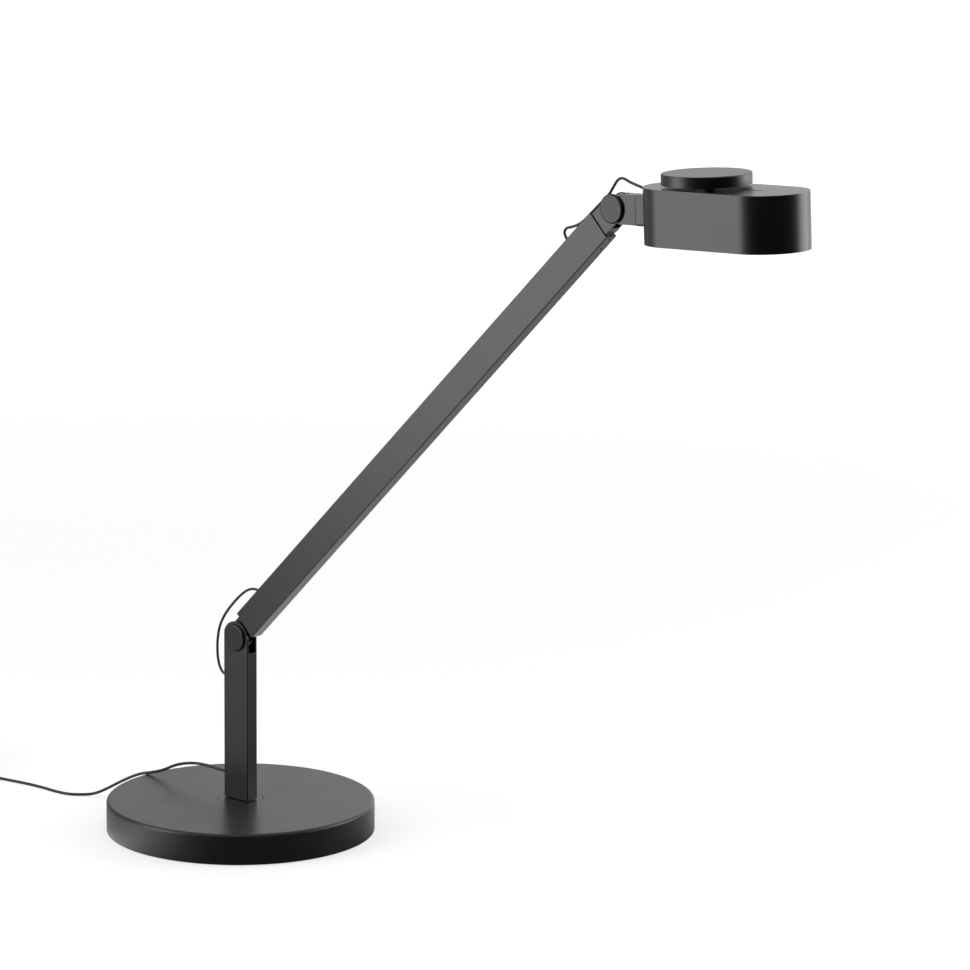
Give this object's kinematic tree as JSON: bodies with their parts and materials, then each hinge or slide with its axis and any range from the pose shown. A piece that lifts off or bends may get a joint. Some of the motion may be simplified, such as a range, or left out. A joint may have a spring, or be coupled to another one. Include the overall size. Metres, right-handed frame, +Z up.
{
  "type": "desk lamp",
  "caption": "Adjustable desk lamp: heavy round base, flat upright post, long straight arm on friction hinges and an oblong LED head with a large dimmer knob.",
  "frame": {"origin": "middle of the base's flat underside", "axes": "+X the way the arm reaches, +Z up, +Y across the arm, completing a right-handed frame"},
  "size_m": [0.8628, 0.2, 0.5422],
  "materials": {
    "black_steel": "satin",
    "iron": "rough",
    "rubber_pad": "matte",
    "steel": "satin",
    "brass": "satin",
    "bare_aluminium": "satin",
    "black_aluminium": "satin",
    "cable": "satin",
    "nylon": "matte",
    "board_white": "matte",
    "board_green": "satin",
    "led": "gloss",
    "white_plastic": "matte",
    "opal": "frosted",
    "pot_metal": "satin",
    "black_plastic": "satin",
    "black_gloss_plastic": "gloss"
  },
  "bodies": {
    "base": {"base_cover": "black_steel", "base_weight": "iron", "base_pad": "rubber_pad", "base_screws": "steel", "swivel_bush": "brass", "supply_cord": "cable", "cord_coil": "cable", "cord_relief": "black_gloss_plastic", "power_adapter": "black_gloss_plastic", "adapter_pins": "brass"},
    "post": {"swivel_disc": "black_steel", "swivel_stem": "steel", "swivel_washer": "steel", "swivel_nut": "steel", "post_foot": "bare_aluminium", "foot_screws": "steel", "post_tube": "black_aluminium", "post_cable": "cable", "lower_hinge_cap": "black_steel", "lower_hinge_screw": "black_steel", "lower_friction_washers": "nylon"},
    "arm": {"lower_tongue": "black_aluminium", "arm_tube": "black_aluminium", "arm_cable": "cable", "upper_fork": "black_aluminium", "arm_screws": "steel", "upper_hinge_cap": "black_steel", "upper_hinge_screw": "black_steel", "upper_friction_washers": "nylon", "lower_cable_loop": "cable", "upper_cable_loop": "cable"},
    "bracket": {"bracket": "black_aluminium", "bracket_grub": "steel"},
    "head": {"swivel_pin": "steel", "swivel_spacer": "nylon", "head_neck": "black_aluminium", "neck_screws": "steel", "head_housing": "black_aluminium", "heat_sink": "bare_aluminium", "sink_screws": "steel", "led_board": "board_white", "led_chips": "led", "reflector_tray": "white_plastic", "diffuser": "opal", "driver_board": "board_green", "driver_screws": "steel", "dimmer_pot": "pot_metal", "pot_nut": "steel", "head_cable": "cable"},
    "knob": {"dimmer_knob": "black_plastic", "dimmer_shaft": "steel"}
  },
  "joints": [
    {"name": "base_swivel", "type": "hinge", "parent": "base", "child": "post", "pos_m": [0, 0, 0.0176], "axis": [0, 0, 1], "range_deg": [-90, 90], "deforming": ["supply_cord"]},
    {"name": "arm_hinge", "type": "hinge", "parent": "post", "child": "arm", "pos_m": [0, 0, 0.1473], "axis": [0, -1, 0], "range_deg": [-42, 50], "deforming": ["lower_cable_loop"]},
    {"name": "head_tilt", "type": "hinge", "parent": "arm", "child": "bracket", "pos_m": [0.3638, 0, 0.50807], "axis": [0, -1, 0], "range_deg": [-17, 90], "deforming": ["upper_cable_loop", "head_cable"]},
    {"name": "head_swivel", "type": "hinge", "parent": "bracket", "child": "head", "pos_m": [0.3638, 0, 0.50807], "axis": [0.9986, 0, 0.0537], "range_deg": [-45, 45], "deforming": ["head_cable"]},
    {"name": "dimmer", "type": "hinge", "parent": "head", "child": "knob", "pos_m": [0.44315, 0, 0.51233], "axis": [-0.0537, 0, 0.9986], "range_deg": [-140, 140]}
  ]
}
